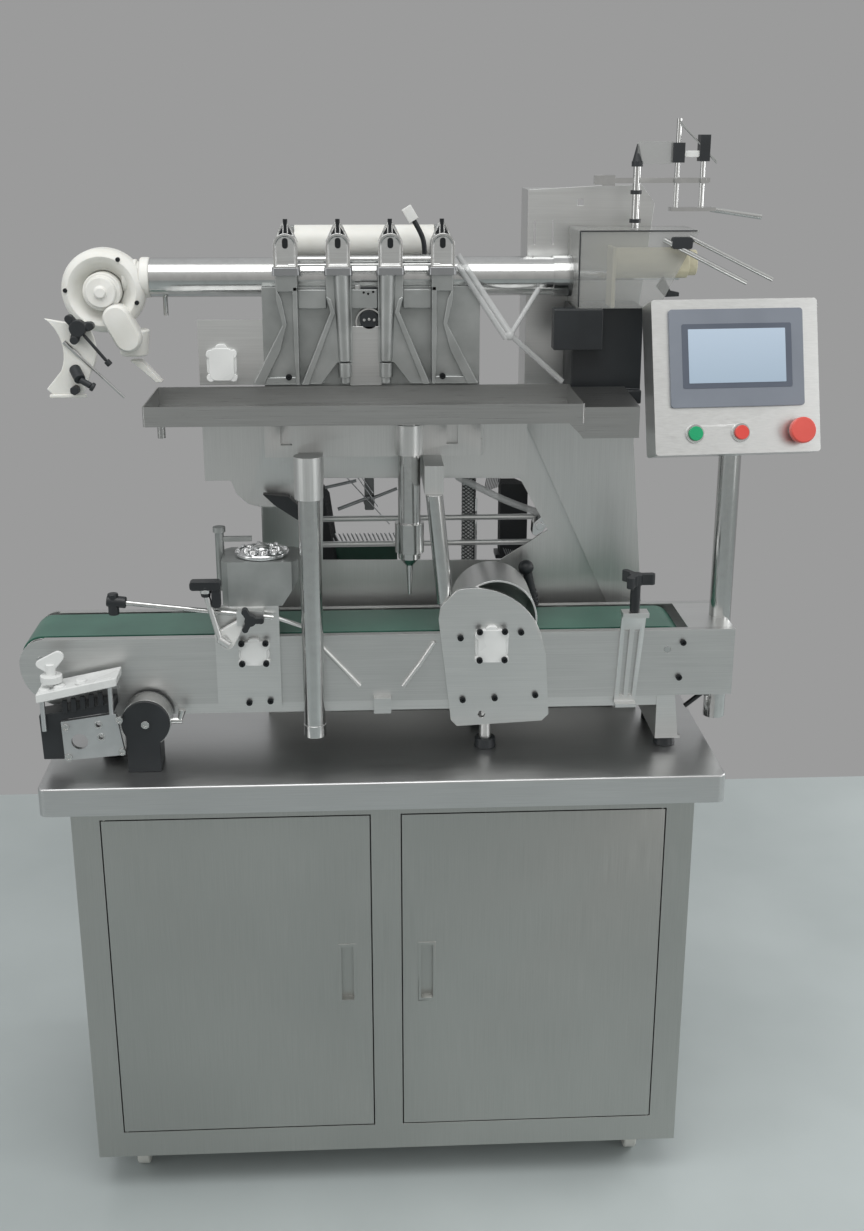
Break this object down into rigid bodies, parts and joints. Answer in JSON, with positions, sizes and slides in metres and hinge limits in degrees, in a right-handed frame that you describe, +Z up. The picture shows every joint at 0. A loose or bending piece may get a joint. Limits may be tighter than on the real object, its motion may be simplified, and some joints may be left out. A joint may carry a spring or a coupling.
{
  "type": "liquid filling machine",
  "caption": "Piston filling machine on a two-door steel cabinet with casters, with a belt conveyor, a hanging nozzle, a rotary valve and a swivelling operator panel.",
  "frame": {"origin": "on the floor, at the middle of the whole machine's bounding box", "axes": "+Z is up, +X is to the right of someone who faces the cabinet doors, +Y is away from them"},
  "size_m": [1.2587, 0.6, 1.77],
  "materials": {
    "brushed_sheet": "brushed stainless sheet",
    "bright_steel": "polished stainless bar and tube",
    "clear_guard": "clear, slightly milky sheet",
    "cast_metal": "satin cast",
    "aluminium": "satin machined",
    "white_plastic": "matte white plastic",
    "cream_plastic": "matte cream",
    "black_plastic": "matte black",
    "light_plastic": "matte light grey",
    "clear_hose": "clear and grey hose",
    "belt_green": "satin green belt",
    "caster_steel": "zinc plated",
    "screen_grey": "grey bezel with a pale screen",
    "button_green": "green cap",
    "button_red": "red cap",
    "screw_steel": "dark steel"
  },
  "bodies": {
    "machine": {"cabinet_shell": "brushed_sheet", "cap_screws": "screw_steel", "carrier_block": "brushed_sheet", "clamp_castings": "cast_metal", "conveyor_belt": "belt_green", "conveyor_rails": "brushed_sheet", "cylinder_barrel": "bright_steel", "dial_housing": "cast_metal", "drip_tray": "brushed_sheet", "drive_body": "black_plastic", "drive_frame": "aluminium", "drive_plate": "brushed_sheet", "end_cover": "brushed_sheet", "front_guard": "clear_guard", "guide_clamp": "brushed_sheet", "hanging_pillars": "bright_steel", "head_motor": "cream_plastic", "hoses": "clear_hose", "lead_connector": "cream_plastic", "left_bracket": "brushed_sheet", "leg_feet": "black_plastic", "main_frame": "brushed_sheet", "motor_caps": "white_plastic", "panel_post": "bright_steel", "rear_guard": "brushed_sheet", "sensor_blocks": "black_plastic", "sensor_lead": "black_plastic", "sensor_stand": "bright_steel", "shroud": "black_plastic", "support_legs": "brushed_sheet", "table_top": "brushed_sheet", "valve_housing": "white_plastic"},
    "left_door": {"left_door": "brushed_sheet"},
    "right_door": {"right_door": "brushed_sheet"},
    "front_left_fork": {"front_left_fork": "caster_steel"},
    "rear_left_fork": {"rear_left_fork": "caster_steel"},
    "front_right_fork": {"front_right_fork": "caster_steel"},
    "rear_right_fork": {"rear_right_fork": "caster_steel"},
    "front_left_wheel": {"front_left_wheel": "white_plastic"},
    "rear_left_wheel": {"rear_left_wheel": "white_plastic"},
    "front_right_wheel": {"front_right_wheel": "white_plastic"},
    "rear_right_wheel": {"rear_right_wheel": "white_plastic"},
    "drive_roller": {"drive_roller": "bright_steel"},
    "idler_roller": {"idler_roller": "bright_steel"},
    "rear_drum": {"rear_drum": "white_plastic"},
    "piston": {"piston": "bright_steel"},
    "valve_rotor": {"valve_rotor": "white_plastic"},
    "swing_bracket": {"swing_bracket": "white_plastic"},
    "dial": {"dial": "bright_steel"},
    "guide_rod": {"guide_rod": "bright_steel"},
    "rod_knob": {"rod_knob": "black_plastic"},
    "clamp_knob": {"clamp_knob": "black_plastic"},
    "wing_knob": {"wing_knob": "light_plastic"},
    "nozzle": {"nozzle_tube": "bright_steel"},
    "panel": {"panel_box": "brushed_sheet", "hmi_screen": "screen_grey"},
    "start_button": {"start_button": "button_green"},
    "stop_button": {"stop_button": "button_red"},
    "estop_button": {"estop_button": "button_red"},
    "clamp_lever": {"clamp_lever": "black_plastic"}
  },
  "joints": [
    {"name": "left_door_hinge", "type": "hinge", "parent": "machine", "child": "left_door", "pos_m": [-0.505, -0.266, 0.415], "axis": [0, 0, -1], "range_deg": [0, 105]},
    {"name": "right_door_hinge", "type": "hinge", "parent": "machine", "child": "right_door", "pos_m": [0.393, -0.266, 0.415], "axis": [0, 0, 1], "range_deg": [0, 105]},
    {"name": "front_left_swivel", "type": "hinge", "parent": "machine", "child": "front_left_fork", "pos_m": [-0.491, -0.21, 0.068], "axis": [0, 0, 1], "continuous": true},
    {"name": "front_left_roll", "type": "hinge", "parent": "front_left_fork", "child": "front_left_wheel", "pos_m": [-0.491, -0.192, 0.025], "axis": [1, 0, 0], "continuous": true},
    {"name": "rear_left_swivel", "type": "hinge", "parent": "machine", "child": "rear_left_fork", "pos_m": [-0.491, 0.21, 0.068], "axis": [0, 0, 1], "continuous": true},
    {"name": "rear_left_roll", "type": "hinge", "parent": "rear_left_fork", "child": "rear_left_wheel", "pos_m": [-0.491, 0.228, 0.025], "axis": [1, 0, 0], "continuous": true},
    {"name": "front_right_swivel", "type": "hinge", "parent": "machine", "child": "front_right_fork", "pos_m": [0.379, -0.21, 0.068], "axis": [0, 0, 1], "continuous": true},
    {"name": "front_right_roll", "type": "hinge", "parent": "front_right_fork", "child": "front_right_wheel", "pos_m": [0.379, -0.192, 0.025], "axis": [1, 0, 0], "continuous": true},
    {"name": "rear_right_swivel", "type": "hinge", "parent": "machine", "child": "rear_right_fork", "pos_m": [0.379, 0.21, 0.068], "axis": [0, 0, 1], "continuous": true},
    {"name": "rear_right_roll", "type": "hinge", "parent": "rear_right_fork", "child": "rear_right_wheel", "pos_m": [0.379, 0.228, 0.025], "axis": [1, 0, 0], "continuous": true},
    {"name": "drive_roller_spin", "type": "hinge", "parent": "machine", "child": "drive_roller", "pos_m": [-0.6, -0.109, 0.9529], "axis": [0, 1, 0], "continuous": true},
    {"name": "idler_roller_spin", "type": "hinge", "parent": "machine", "child": "idler_roller", "pos_m": [0.405, -0.109, 0.9529], "axis": [0, 1, 0], "continuous": true},
    {"name": "rear_drum_spin", "type": "hinge", "parent": "machine", "child": "rear_drum", "pos_m": [-0.07, 0.076, 1.58], "axis": [1, 0, 0], "continuous": true},
    {"name": "piston_stroke", "type": "slide", "parent": "machine", "child": "piston", "axis": [1, 0, 0], "range_m": [-0.17, 0]},
    {"name": "valve_turn", "type": "hinge", "parent": "machine", "child": "valve_rotor", "pos_m": [-0.492, 0, 1.51], "axis": [0, 1, 0], "range_deg": [0, 90]},
    {"name": "bracket_swing", "type": "hinge", "parent": "machine", "child": "swing_bracket", "pos_m": [-0.52, -0.08, 1.462], "axis": [0, 1, 0], "range_deg": [-12, 12]},
    {"name": "dial_turn", "type": "hinge", "parent": "machine", "child": "dial", "pos_m": [-0.246, -0.148, 1.116], "axis": [0, 0, 1], "continuous": true},
    {"name": "guide_rod_slide", "type": "slide", "parent": "machine", "child": "guide_rod", "axis": [0.9925, 0, -0.1225], "range_m": [-0.03, 0.03]},
    {"name": "rod_knob_turn", "type": "hinge", "parent": "machine", "child": "rod_knob", "pos_m": [-0.263, -0.22, 1.026], "axis": [0, -1, 0], "continuous": true},
    {"name": "clamp_knob_turn", "type": "hinge", "parent": "machine", "child": "clamp_knob", "pos_m": [0.346, -0.198, 1.05], "axis": [0, 0, 1], "continuous": true},
    {"name": "wing_knob_turn", "type": "hinge", "parent": "machine", "child": "wing_knob", "pos_m": [-0.576, -0.228, 0.95], "axis": [0, 0, 1], "continuous": true},
    {"name": "nozzle_dive", "type": "slide", "parent": "machine", "child": "nozzle", "axis": [0, 0, -1], "range_m": [0, 0.03]},
    {"name": "panel_turn", "type": "hinge", "parent": "machine", "child": "panel", "pos_m": [0.507, -0.11, 1.31], "axis": [0, 0, 1], "range_deg": [0, 60]},
    {"name": "start_button_press", "type": "slide", "parent": "panel", "child": "start_button", "axis": [-0.0838, 0.9576, -0.2756], "range_m": [0, 0.003], "stiffness_N_per_m": 800, "springref_m": -0.002},
    {"name": "stop_button_press", "type": "slide", "parent": "panel", "child": "stop_button", "axis": [-0.0838, 0.9576, -0.2756], "range_m": [0, 0.003], "stiffness_N_per_m": 800, "springref_m": -0.002},
    {"name": "estop_button_press", "type": "slide", "parent": "panel", "child": "estop_button", "axis": [-0.0838, 0.9576, -0.2756], "range_m": [0, 0.004], "stiffness_N_per_m": 1500, "springref_m": -0.002},
    {"name": "clamp_lever_turn", "type": "hinge", "parent": "machine", "child": "clamp_lever", "pos_m": [0.483, -0.141, 0.864], "axis": [0, -1, 0], "range_deg": [0, 90]}
  ],
  "couplings": [
    {"joint": "idler_roller_spin", "follows": "drive_roller_spin", "ratio": 1}
  ]
}
